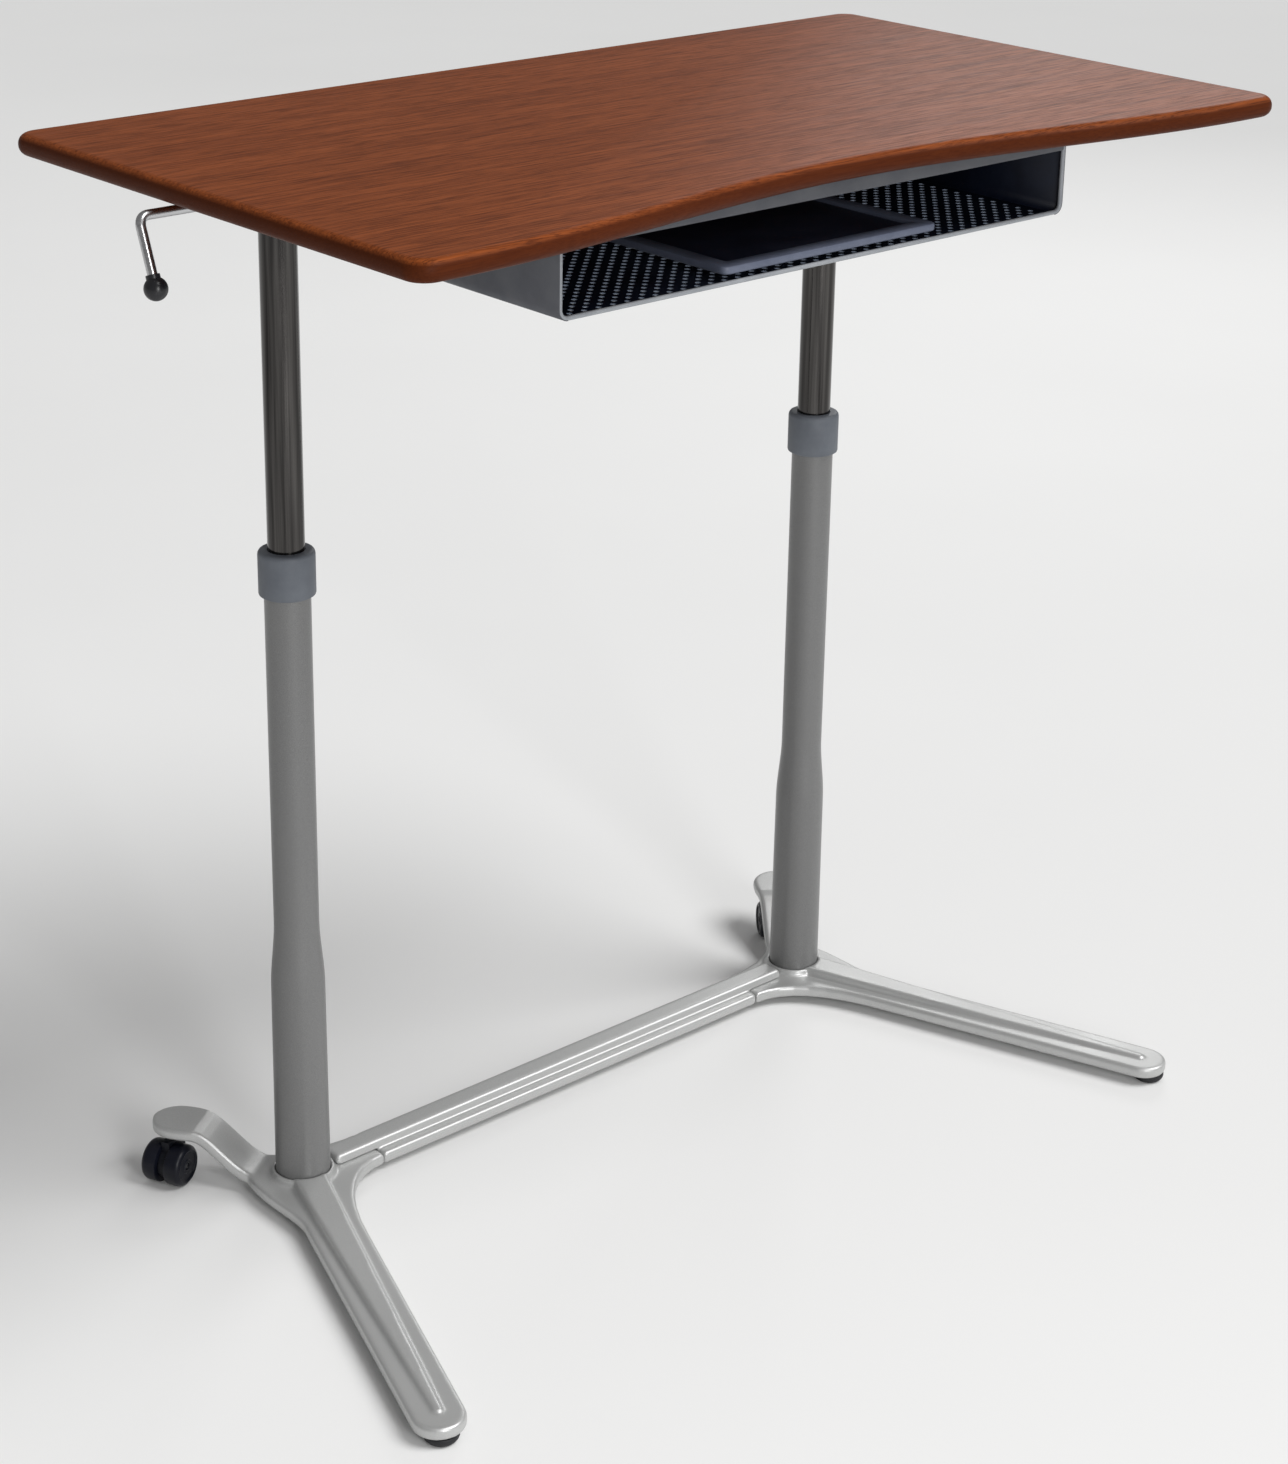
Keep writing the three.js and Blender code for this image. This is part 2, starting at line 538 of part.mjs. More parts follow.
function rearArm() {
  const rings = [];
  const neck = 84;
  const start = 12;
  for (let distance = start; distance < neck; distance += 4) {
    const t = Math.min((distance - start) / (ARM.rootEnd - start), 1);
    rings.push(armRing(distance, THREE.MathUtils.lerp(ARM.rootHalf, ARM.half, t)));
  }
  const shoulder = padDistance - 8;
  for (let i = 0; i <= 4; i += 1) {
    const t = i / 4;
    const half = THREE.MathUtils.lerp(ARM.half, ARM.padRadius, t * t * (3 - 2 * t));
    rings.push(armRing(THREE.MathUtils.lerp(neck, shoulder, t), half));
  }
  for (let i = 1; i <= 8; i += 1) {
    const angle = (Math.PI / 2) * (i / 8) * 0.94;
    const distance = shoulder + 4 + (ARM.padRadius - 1) * Math.sin(angle) * 1.15;
    rings.push(armRing(distance, ARM.padRadius * Math.cos(angle)));
  }
  return loft(rings);
}

function buildCastings() {
  const hub = lathe([[0, PLATE.bottom + 0.5], [HUB.radius + 3, PLATE.bottom + 0.5],
    [HUB.radius + 2.2, PLATE.top], [HUB.radius, PLATE.top + 3], [HUB.radius, HUB.top - 1.5],
    [HUB.radius - 1, HUB.top - 0.3], [HUB.radius - 2, HUB.top], [0, HUB.top]], 36);
  const flange = plate(castingOutline(), PLATE.bottom, PLATE.top, PLATE.edge, 8, 2);
  const body = join(flange, hub, legRib(), rearArm());
  const glide = onLine(legAlong, legAcross, LEG.glideDistance, 0);
  const padBottom = ARM.padTop - ARM.thickness;
  const bolts = STRETCHER_BOLTS.flatMap((x) => [
    rod('z', 3.3, 0, 40, [x, 0], 12),
    rod('z', 5.8, 0, 13, [x, 0], 16),
  ]);
  const ribRoomHalf = STRETCHER_RIB.base + 1;
  const stubRibRoom = box([-STUB.reach - 1, -30], [-ribRoomHalf, ribRoomHalf], [PLATE.top, 60]);
  const drilled = cut(body,
    rod('z', OUTER_TUBE.baseRadius + GAP, HUB.floor, 60, [0, 0], 36),
    rod('z', 5.8, 0, 40, [0, 0], 16),
    rod('z', 9.2, 0, 12.3, [0, 0], 20),
    rod('z', 4.3, 0, 17, [glide.x, glide.y], 14),
    rod('z', CASTER.stemRadius + GAP, padBottom - 10, padBottom + 8.5, [ARM.pad.x, ARM.pad.y], 16),
    stubRibRoom,
    ...bolts);
  add('right_leg_casting', drilled, LOOK.casting, columnGroup.right);
  const left = add('left_leg_casting', drilled, LOOK.casting, columnGroup.left);
  mirrorX(left.geometry);

  for (const [label, side] of SIDES) {
    const group = columnGroup[label];
    const baseBolt = lathe([[0, 8.6], [8.6, 8.6], [8.6, 12], [5.2, 12], [5.2, 32], [0, 32]], 20);
    add(`${label}_column_bolt`, baseBolt, LOOK.steel, group);
    const seat = PLATE.bottom - GAP;
    const foot = lathe([[0, 0], [11, 0], [13.4, 1.4], [15, 3.6], [15, seat], [4, seat], [4, 16.5],
      [0, 16.5]], 24);
    add(`${label}_glide`, foot.translate(side * glide.x, glide.y, 0), LOOK.black, group);
    STRETCHER_BOLTS.forEach((x, index) => {
      const bolt = lathe([[0, 9.4], [5.4, 9.4], [5.4, 12.7], [3, 12.7], [3, 25.5], [0, 25.5]], 12);
      add(`${label}_stretcher_bolt_${index + 1}`, bolt.translate(side * x, 0, 0), LOOK.steel, group);
    });
  }
}

function buildStretcher() {
  const seam = COLUMN.halfSpacing - STUB.reach - GAP;
  const outline = roundedRectangle([-seam, seam], [-STUB.half, STUB.half], PLATE.edge + 0.5);
  const flange = plate(outline, PLATE.bottom, PLATE.top, PLATE.edge, 2, 2);
  const alongX = new THREE.Vector2(1, 0);
  const acrossX = new THREE.Vector2(0, 1);
  const { half, base, top, reach } = STRETCHER_RIB;
  const ribBottom = PLATE.top + GAP;
  const ends = [-reach, -reach + 2, reach - 2, reach];
  const rings = ends.map((x, i) => {
    const drop = i === 0 || i === ends.length - 1 ? 1.5 : 0;
    return ribRing(alongX, acrossX, x, half - drop, ribBottom, top - drop, base - half);
  });
  const web = box([-seam + 1, seam - 1], [-half, half], [PLATE.bottom + 3, ribBottom + 2]);
  const holes = [-1, 1].flatMap((side) => STRETCHER_BOLTS.map((x) => (
    rod('z', 3.3, 0, 26, [side * (COLUMN.halfSpacing + x), 0], 12))));
  const bar = cut(join(flange, loft(rings), web), ...holes);
  add('stretcher', bar, LOOK.casting, columnLine);
}

// ---------------------------------------------------------------- casters
function buildCaster(label, side) {
  const swivel = new THREE.Group();
  swivel.position.set(side * ARM.pad.x, ARM.pad.y, 0);
  swivel.rotation.z = THREE.MathUtils.degToRad(CASTER_TRAIL_DEG[label]);
  columnGroup[label].add(swivel);
  const { wheelRadius, wheelWidth, halfGap, trail, axleRadius, bossRadius, bossBottom, stemRadius } = CASTER;
  const padBottom = ARM.padTop - ARM.thickness;
  const web = halfGap - 0.5;
  const bodyDisc = rod('y', wheelRadius - 5, -web, web, [trail, wheelRadius], 28);
  const neck = box([-6, trail + 6], [-web, web], [wheelRadius + 8, bossBottom + 2]);
  const boss = rod('z', bossRadius, bossBottom, padBottom - GAP, [0, 0], 24);
  const stem = rod('z', stemRadius, bossBottom + 3, padBottom + 8, [0, 0], 16);
  const axleHole = rod('y', axleRadius + GAP, -20, 20, [trail, wheelRadius], 16);
  add(`${label}_caster_body`, cut(join(bodyDisc, neck, boss, stem), axleHole), LOOK.black, swivel);
  add(`${label}_caster_axle`, rod('y', axleRadius, -halfGap - wheelWidth + 2.5, halfGap + wheelWidth - 2.5,
    [trail, wheelRadius], 16), LOOK.steel, swivel);

  const bore = axleRadius + GAP;
  const profile = [[bore, 0], [wheelRadius - 1, 0], [wheelRadius, 1.2], [wheelRadius, wheelWidth - 4],
    [wheelRadius - 1, wheelWidth - 1.4], [wheelRadius - 3.5, wheelWidth], [wheelRadius - 5, wheelWidth],
    [wheelRadius - 6, wheelWidth - 1.2], [bore + 3, wheelWidth - 1.2], [bore + 2.4, wheelWidth - 0.4],
    [bore, wheelWidth - 0.4], [bore, 0]];
  for (const [place, turn] of [['a', 1], ['b', -1]]) {
    const wheel = lathe(profile, 26).rotateX(-turn * Math.PI / 2);
    wheel.translate(trail, turn * halfGap, wheelRadius);
    add(`${label}_caster_wheel_${place}`, wheel, LOOK.black, swivel);
  }
}

// ---------------------------------------------------------------- assembly
buildTop();
buildTopScrews();
buildShelf();
buildTray();
buildDrive();
buildCrank();
for (const [label, side] of SIDES) {
  buildHousing(label, side);
  buildColumn(label);
  buildCaster(label, side);
}
buildCastings();
buildStretcher();

export default desk;
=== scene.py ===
"""Looks for the free-standing crank sit-stand desk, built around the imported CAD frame."""

import json
import math

import bmesh
import bpy
from mathutils import Matrix, Vector

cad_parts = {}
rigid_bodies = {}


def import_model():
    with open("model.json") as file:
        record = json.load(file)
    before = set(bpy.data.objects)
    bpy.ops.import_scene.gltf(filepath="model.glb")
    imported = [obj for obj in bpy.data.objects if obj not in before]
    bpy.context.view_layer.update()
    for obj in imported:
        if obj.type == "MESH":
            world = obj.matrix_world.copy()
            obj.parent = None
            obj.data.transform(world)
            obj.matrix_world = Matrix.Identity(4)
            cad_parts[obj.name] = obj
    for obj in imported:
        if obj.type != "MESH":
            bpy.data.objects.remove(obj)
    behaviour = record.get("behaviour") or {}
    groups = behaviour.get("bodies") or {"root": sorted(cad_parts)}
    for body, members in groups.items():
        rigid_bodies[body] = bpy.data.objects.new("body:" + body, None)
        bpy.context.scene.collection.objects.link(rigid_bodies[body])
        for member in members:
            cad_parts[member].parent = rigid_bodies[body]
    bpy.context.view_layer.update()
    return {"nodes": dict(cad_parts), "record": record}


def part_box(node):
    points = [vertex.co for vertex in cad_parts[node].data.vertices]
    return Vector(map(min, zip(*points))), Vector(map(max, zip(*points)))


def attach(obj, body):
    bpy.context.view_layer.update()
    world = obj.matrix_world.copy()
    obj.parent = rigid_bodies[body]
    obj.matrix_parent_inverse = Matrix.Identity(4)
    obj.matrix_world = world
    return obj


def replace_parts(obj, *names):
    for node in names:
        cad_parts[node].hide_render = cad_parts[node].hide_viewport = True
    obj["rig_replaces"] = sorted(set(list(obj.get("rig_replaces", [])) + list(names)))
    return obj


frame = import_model()
NODES = frame["nodes"]
MM = 0.001
SIDES = (("left", -1), ("right", 1))

# ------------------------------------------------------------------ sizes, in millimetres
TOP_CORNER, TOP_SCOOP, TOP_NOSE = 21.0, 50.0, 8.5
SHEET = 1.6
SHELF_CORNER, SHELF_LIP, RAIL_BOTTOM, RAIL_DEPTH = 9.0, 16.0, 940.0, 12.0
PERF_PITCH, PERF_RADIUS, FLOOR_SHEET = 7.25, 2.5, 1.2
TRAY_RIM_WIDTH, TRAY_RIM_DEPTH, TRAY_CORNER, TRAY_THICKNESS = 14.0, 3.5, 7.0, 6.5
TRAY_FOOT_INSET, TRAY_FRONT_FOOT_INSET, TRAY_FOOT_RADIUS = 20.0, 85.0, 4.0
MOUTH_RIM_RADIUS = 1.9
BASE_RADIUS, SHAFT_FOOT_RADIUS, SHAFT_RADIUS, TUBE_WALL = 25.0, 24.0, 20.0, 2.4
TAPER_START, TAPER_END, TAPER_STEPS = 213.0, 275.0, 16
CHROME_RADIUS, CHROME_BORE = 15.9, 14.3
COLLAR_HEIGHT, COLLAR_RADIUS, COLLAR_BORE, COLLAR_SLEEVE_BORE = 40.0, 24.5, 16.2, 17.3
COLUMN_RIM, COLLAR_CLEAR_RADIUS = 604.3, 20.3
GLIDE_RADIUS, GLIDE_NECK = 15.0, 4.0
WHEEL_RADIUS, WHEEL_WIDTH, WHEEL_HALF_GAP, WHEEL_BORE = 19.5, 15.5, 4.5, 3.3
CRANK_RADIUS, CRANK_BEND, CRANK_ARM = 4.0, 9.0, math.hypot(20.0, 51.8)
KNOB_RADIUS, KNOB_NECK = 9.4, 5.6
VOXEL, CAST_SMOOTHING = 1.3, 5


def corners(node):
    """A CAD node's lowest and highest corners in millimetres."""
    low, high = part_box(node)
    return low / MM, high / MM


def middle(node):
    low, high = corners(node)
    return (low + high) / 2


def joint_line(name):
    """A joint's anchor in millimetres, and its axis."""
    for joint in frame["record"]["behaviour"]["joints"]:
        if joint["name"] == name:
            return Vector(joint["pos_m"]) / MM, Vector(joint["axis"]).normalized()
    raise ValueError(name)


# ------------------------------------------------------------------ materials
class Shader:
    """A small wrapper that adds nodes to one principled material."""

    def __init__(self, name):
        self.material = bpy.data.materials.new(name)
        self.material.use_nodes = True
        self.tree = self.material.node_tree
        self.bsdf = self.tree.nodes["Principled BSDF"]
        self.place = self.node("ShaderNodeTexCoord").outputs["Object"]

    def node(self, kind, **settings):
        made = self.tree.nodes.new(kind)
        for key, value in settings.items():
            setattr(made, key, value)
        return made

    def link(self, source, target):
        self.tree.links.new(source, target)

    def stretched(self, scale):
        mapping = self.node("ShaderNodeMapping")
        mapping.inputs["Scale"].default_value = scale
        self.link(self.place, mapping.inputs["Vector"])
        return mapping.outputs["Vector"]

    def noise(self, scale, detail=3.0, roughness=0.55, stretch=(1, 1, 1), distortion=0.0):
        made = self.node("ShaderNodeTexNoise")
        self.link(self.stretched(stretch), made.inputs["Vector"])
        made.inputs["Scale"].default_value = scale
        made.inputs["Detail"].default_value = detail
        made.inputs["Roughness"].default_value = roughness
        made.inputs["Distortion"].default_value = distortion
        return made.outputs["Fac"]

    def ramp(self, value, stops):
        made = self.node("ShaderNodeValToRGB")
        ramp = made.color_ramp
        while len(ramp.elements) < len(stops):
            ramp.elements.new(0.5)
        for element, (position, color) in zip(ramp.elements, stops):
            element.position = position
            element.color = (*color, 1)
        self.link(value, made.inputs["Fac"])
        return made.outputs["Color"]

    def span(self, value, low, high, to_low, to_high):
        made = self.node("ShaderNodeMapRange")
        for key, number in zip(("From Min", "From Max", "To Min", "To Max"), (low, high, to_low, to_high)):
            made.inputs[key].default_value = number
        self.link(value, made.inputs["Value"])
        return made.outputs["Result"]

    def mix(self, factor, first, second):
        made = self.node("ShaderNodeMix", data_type="RGBA")
        self.link(factor, made.inputs["Factor"])
        for socket, value in ((made.inputs[6], first), (made.inputs[7], second)):
            if isinstance(value, tuple):
                socket.default_value = (*value, 1)
            else:
                self.link(value, socket)
        return made.outputs[2]

    def bump(self, height, strength, distance):
        made = self.node("ShaderNodeBump")
        made.inputs["Strength"].default_value = strength
        made.inputs["Distance"].default_value = distance
        self.link(height, made.inputs["Height"])
        self.link(made.outputs["Normal"], self.bsdf.inputs["Normal"])

    def axis(self, name):
        made = self.node("ShaderNodeSeparateXYZ")
        self.link(self.place, made.inputs["Vector"])
        return made.outputs[name]

    def set(self, **values):
        for key, value in values.items():
            self.bsdf.inputs[key.replace("_", " ")].default_value = value


def wood(top_height):
    s = Shader("cherry_laminate")
    broad = s.noise(4.0, 4, 0.5, (0.6, 14, 14), 0.3)
    streak = s.noise(14.0, 6, 0.66, (0.45, 30, 30), 0.1)
    pores = s.noise(64.0, 3, 0.6, (0.5, 16, 16), 0.0)
    color = s.ramp(streak, [(0.30, (0.092, 0.020, 0.005)), (0.46, (0.184, 0.043, 0.010)),
                            (0.60, (0.250, 0.063, 0.016)), (0.78, (0.325, 0.086, 0.024))])
    color = s.mix(s.span(broad, 0.40, 0.62, 0.0, 0.50), color, (0.275, 0.070, 0.018))
    color = s.mix(s.span(pores, 0.50, 0.60, 0.0, 0.66), color, (0.050, 0.012, 0.005))
    height = s.axis("Z")
    # Below the top's upper edge, the nose and the underside are darkened towards black-brown: painted shade
    # of the rounded edge under its lit top line.
    nose_painted_shade = s.span(height, (top_height - 4.5) * MM, (top_height - 1.5) * MM, 0.90, 0.0)
    color = s.mix(nose_painted_shade, color, (0.054, 0.012, 0.004))
    s.link(color, s.bsdf.inputs["Base Color"])
    s.link(s.span(pores, 0.3, 0.7, 0.36, 0.50), s.bsdf.inputs["Roughness"])
    s.bump(pores, 0.10, 0.0003)
    s.set(Specular_IOR_Level=0.04)
    return s.material


def metallic_paint(name, dark, light, roughness, metallic, flake=2200.0):
    """Sprayed silver paint: fine bright and dark flakes over slow, faint cloudiness."""
    s = Shader(name)
    flakes = s.noise(flake, 2, 0.7)
    cloud = s.noise(7.0, 4)
    color = s.mix(s.span(flakes, 0.32, 0.68, 0.0, 1.0), dark, light)
    shade = tuple(channel * 0.86 for channel in light)
    color = s.mix(s.span(cloud, 0.35, 0.7, 0.0, 0.30), color, shade)
    s.link(color, s.bsdf.inputs["Base Color"])
    s.link(s.span(cloud, 0.3, 0.7, roughness - 0.04, roughness + 0.06), s.bsdf.inputs["Roughness"])
    s.bump(flakes, 0.12, 0.00006)
    s.set(Metallic=metallic)
    return s.material


def bare_metal(name, dark, light, low, high, stretch, line_and_streak_scale=420.0):
    """Plated or drawn metal, with faint drawing marks along its length and uneven polish; at a coarse scale,
    as on the column chrome, these marks become wide dark and light bands, which are painted reflections.
    """
    s = Shader(name)
    drawn_lines_and_reflection_streaks = s.noise(line_and_streak_scale, 3, 0.6, stretch)
    smear = s.noise(22.0, 5, 0.6)
    color = s.mix(s.span(drawn_lines_and_reflection_streaks, 0.3, 0.7, 0.0, 1.0), dark, light)
    s.link(color, s.bsdf.inputs["Base Color"])
    s.link(s.span(smear, 0.3, 0.72, low, high), s.bsdf.inputs["Roughness"])
    s.bump(drawn_lines_and_reflection_streaks, 0.05, 0.00005)
    s.set(Metallic=1.0)
    return s.material


def plastic(name, dark, light, low, high, shine=0.38):
    """Moulded plastic, powder coat or rubber: pebbled, with rubbed and dusty patches."""
    s = Shader(name)
    pebble = s.noise(1500.0, 3, 0.6)
    wear = s.noise(26.0, 5, 0.6)
    color = s.mix(s.span(wear, 0.38, 0.70, 0.0, 1.0), dark, light)
    s.link(color, s.bsdf.inputs["Base Color"])
    s.link(s.span(wear, 0.3, 0.7, low, high), s.bsdf.inputs["Roughness"])
    s.bump(pebble, 0.30, 0.00008)
    s.set(Specular_IOR_Level=shine)
    return s.material


ALONG_Z = (1, 1, 0.02)
ALONG_X = (0.02, 1, 1)


def make_materials():
    return {
        "laminate": wood(corners("tabletop")[1].z),
        "shelf_paint": plastic("shelf_powder_coat", (0.062, 0.065, 0.076), (0.088, 0.092, 0.102),
                               0.42, 0.56),
        # Near-black navy for the shelf's inside faces: painted shade, a shaded copy of the shelf's grey paint
        # where the shelf lies in shadow under the top.
        "shelf_floor": plastic("shelf_inside_painted_shade", (0.003, 0.0045, 0.011), (0.006, 0.009, 0.020),
                               0.40, 0.56, 0.16),
        # Light blue-grey for the rims of the floor's holes: painted light, standing in for the light that
        # shows through the holes.
        "perforation_rim_painted_light": plastic("perforation_rim_painted_light", (0.085, 0.105, 0.145), (0.13, 0.155, 0.20),
                                    0.40, 0.50),
        # Light grey for the rod along the shelf's mouth: a lit copy of the shelf paint, painted highlight
        # along the front edge.
        "shelf_rim": plastic("shelf_mouth_painted_highlight", (0.235, 0.250, 0.272), (0.300, 0.315, 0.335), 0.34, 0.46),
        "tray_paint": plastic("tray_frame_plastic", (0.085, 0.100, 0.145), (0.115, 0.130, 0.180),
                              0.36, 0.50),
        "tray_panel": plastic("tray_panel_plastic", (0.006, 0.008, 0.018), (0.012, 0.015, 0.030),
                              0.42, 0.58),
        "crank_chrome": bare_metal("crank_rod_chrome", (0.42, 0.42, 0.43), (0.60, 0.60, 0.61),
                                   0.18, 0.30, ALONG_X),
        "knob_plastic": plastic("knob_black", (0.008, 0.008, 0.010), (0.018, 0.018, 0.021), 0.22, 0.38),
        "steel": bare_metal("zinc_plated_steel", (0.40, 0.40, 0.41), (0.55, 0.55, 0.56), 0.26, 0.42,
                            ALONG_Z),
        "brass": bare_metal("turned_brass", (0.52, 0.37, 0.15), (0.65, 0.48, 0.22), 0.24, 0.40, ALONG_Z),
        # The column chrome's very dark colours and its wide bands along the length are painted reflections of
        # dark surroundings, not the plating's own colour.
        "chrome": bare_metal("column_chrome_painted_reflections", (0.016, 0.015, 0.015), (0.108, 0.103, 0.099), 0.08, 0.17,
                             ALONG_Z, 150.0),
        "column_paint": metallic_paint("column_silver", (0.125, 0.126, 0.127), (0.222, 0.222, 0.220),
                                       0.34, 0.30),
        "cast_paint": metallic_paint("casting_silver", (0.430, 0.434, 0.430), (0.600, 0.604, 0.598),
                                     0.41, 0.60),
        "housing_cast": metallic_paint("housing_silver", (0.140, 0.142, 0.145), (0.215, 0.218, 0.222),
                                       0.42, 0.40),
        "collar_plastic": plastic("collar_grey", (0.108, 0.120, 0.140), (0.146, 0.160, 0.182), 0.46, 0.60),
        "glide_rubber": plastic("glide_black", (0.009, 0.009, 0.011), (0.020, 0.020, 0.023), 0.48, 0.66),
        "caster_plastic": plastic("caster_body_black", (0.002, 0.0025, 0.005), (0.006, 0.007, 0.011),
                                  0.36, 0.52, 0.24),
        "caster_tread": plastic("caster_wheel_black", (0.002, 0.0025, 0.006), (0.005, 0.006, 0.012),
                                0.26, 0.42, 0.24),
    }


MATERIALS = make_materials()
SLOT_OF = {part["node"]: part["material_slot"] for part in frame["record"]["subparts"]}


# ------------------------------------------------------------------ mesh helpers
def new_piece(name, mesh, body, replaced, material):
    """Links a mesh made in row-frame metres as a piece of the object."""
    piece = bpy.data.objects.new(name, mesh)
    bpy.context.scene.collection.objects.link(piece)
    mesh.materials.append(MATERIALS[material])
    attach(piece, body)
    if replaced:
        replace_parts(piece, *replaced)
    return piece


def mesh_from(name, vertices, faces):
    bm = bmesh.new()
    made = [bm.verts.new(Vector(v) * MM) for v in vertices]
    for face in faces:
        bm.faces.new([made[i] for i in face])
    bmesh.ops.recalc_face_normals(bm, faces=bm.faces)
    mesh = bpy.data.meshes.new(name)
    bm.to_mesh(mesh)
    bm.free()
    for polygon in mesh.polygons:
        polygon.use_smooth = True
    return mesh


def sharpen(mesh, degrees):
    mesh.set_sharp_from_angle(angle=math.radians(degrees))
    return mesh


def loft(name, rings, sharp=40):
    """A skin through equal rings, capped at both ends."""
    count = len(rings[0])
    vertices = [point for ring in rings for point in ring]
    total = len(vertices)
    faces = []
    for ring in range(len(rings) - 1):
        for i in range(count):
            a = ring * count + i
            b = ring * count + (i + 1) % count
            faces.append([a, b, b + count, a + count])
    faces.append(list(range(count)))
    faces.append(list(range(total - count, total)))
    return sharpen(mesh_from(name, vertices, faces), sharp)


def turned(name, profile, place, segments=72):
    """A body of revolution from a closed [radius, z] profile, moved by the matrix place."""
    faces = []
    vertices = []
    rings = []
    for radius, z in profile:
        if radius < 1e-6:
            rings.append([len(vertices)] * segments)
            vertices.append(place @ Vector((0, 0, z)))
            continue
        start = len(vertices)
        rings.append(list(range(start, start + segments)))
        for i in range(segments):
            angle = 2 * math.pi * i / segments
            vertices.append(place @ Vector((radius * math.cos(angle), radius * math.sin(angle), z)))
    on_axis = profile[0][0] < 1e-6 and profile[-1][0] < 1e-6
    pairs = list(zip(rings, rings[1:]))
    if not on_axis:
        pairs.append((rings[-1], rings[0]))
    for low, high in pairs:
        for i in range(segments):
            j = (i + 1) % segments
            face = []
            for index in (low[i], low[j], high[j], high[i]):
                if index not in face:
                    face.append(index)
            if len(face) > 2:
                faces.append(face)
    return sharpen(mesh_from(name, vertices, faces), 35)


def boxed(name, low, high, bevel):
    """A bevelled block between two corners."""
    bm = bmesh.new()
    bmesh.ops.create_cube(bm, size=1)
    centre = (Vector(low) + Vector(high)) / 2
    size = Vector(high) - Vector(low)
    for vert in bm.verts:
        vert.co = Vector(centre[i] + vert.co[i] * size[i] for i in range(3)) * MM
    bmesh.ops.bevel(bm, geom=bm.edges[:], offset=bevel * MM, segments=4, profile=0.5, affect="EDGES")
    mesh = bpy.data.meshes.new(name)
    bm.to_mesh(mesh)
    bm.free()
    for polygon in mesh.polygons:
        polygon.use_smooth = True
    return sharpen(mesh, 50)


def curve_piece(name, points, radius, body, replaced, material):
    curve = bpy.data.curves.new(name, "CURVE")
    curve.dimensions = "3D"
    curve.bevel_depth = radius * MM
    curve.bevel_resolution = 8
    curve.use_fill_caps = True
    spline = curve.splines.new("POLY")
    spline.points.add(len(points) - 1)
    for target, point in zip(spline.points, points):
        target.co = (*(Vector(point) * MM), 1)
    spline.use_smooth = True
    return new_piece(name, curve, body, replaced, material)


def rounded_rectangle(low, high, radius, inset=0.0, steps=8):
    """The outline of a rounded rectangle, pulled in by inset."""
    points = []
    arcs = ((high[0], low[1], -90), (high[0], high[1], 0), (low[0], high[1], 90), (low[0], low[1], 180))
    for x, y, start in arcs:
        cx = x - radius if x == high[0] else x + radius
        cy = y - radius if y == high[1] else y + radius
        reach = max(radius - inset, 0.2)
        for i in range(steps + 1):
            angle = math.radians(start + 90 * i / steps)
            points.append((cx + reach * math.cos(angle), cy + reach * math.sin(angle)))
    return points


# ------------------------------------------------------------------ tabletop
def top_outline():
    low, high = corners("tabletop")
    centre_x = (low.x + high.x) / 2
    half = (high.x - low.x) / 2
    flat = half - TOP_CORNER
    points = []
    steps = 120
    for i in range(1, steps):
        x = -flat + 2 * flat * i / steps
        swell = (1 + math.cos(math.pi * x / flat)) / 2
        points.append((centre_x + x, low.y + TOP_SCOOP * swell))
    frame_points = rounded_rectangle((low.x, low.y), (high.x, high.y), TOP_CORNER, steps=14)
    return points + frame_points


def pulled_in(outline, inset):
    """The outline moved inwards along its own normals."""
    moved = []
    count = len(outline)
    for i in range(count):
        before = Vector(outline[i - 1])
        after = Vector(outline[(i + 1) % count])
        along = (after - before).normalized()
        moved.append((outline[i][0] - along.y * inset, outline[i][1] + along.x * inset))
    return moved


def build_top():
    low, high = corners("tabletop")
    outline = top_outline()
    rings = []
    steps = 10
    for end, sign in ((low.z + TOP_NOSE, -1), (high.z - TOP_NOSE, 1)):
        for i in range(steps + 1):
            turn = i / steps if sign > 0 else 1 - i / steps
            angle = turn * math.pi / 2
            inset = TOP_NOSE * (1 - math.cos(angle))
            z = end + sign * TOP_NOSE * math.sin(angle)
            rings.append([(x, y, z) for x, y in pulled_in(outline, inset)])
    new_piece("wood_grain_top", loft("wood_grain_top", rings, sharp=50), "lift_top", ["tabletop"], "laminate")


# ------------------------------------------------------------------ storage shelf and tray
def solidified(piece, thickness, offset):
    modifier = piece.modifiers.new("sheet_thickness", "SOLIDIFY")
    modifier.thickness = thickness * MM
    modifier.offset = offset
    return modifier


def shelf_wall_path(low, high, side):
    """The XZ run of one side wall: top lip, outer wall and rounded lower corner."""
    edge = high.x if side > 0 else low.x
    path = [(edge - side * SHELF_LIP, high.z), (edge - side * 3, high.z)]
    for i in range(1, 5):
        angle = math.radians(90 * i / 4)
        path.append((edge - side * (3 - 3 * math.sin(angle)), high.z - 3 + 3 * math.cos(angle)))
    for i in range(9):
        angle = math.radians(90 * i / 8)
        reach = SHELF_CORNER * (1 - math.cos(angle))
        path.append((edge - side * reach, low.z + SHELF_CORNER * (1 - math.sin(angle))))
    return path


def swept(name, path, y0, y1, side):
    vertices = [(x, y, z) for y in (y0, y1) for x, z in path]
    count = len(path)
    faces = [[i, i + 1, i + 1 + count, i + count] for i in range(count - 1)]
    mesh = mesh_from(name, vertices, faces)
    outward = Vector((side, 0, 0))
    middle_face = mesh.polygons[count // 2 - 1]
    if middle_face.normal.dot(outward) < 0:
        mesh.flip_normals()
    return mesh


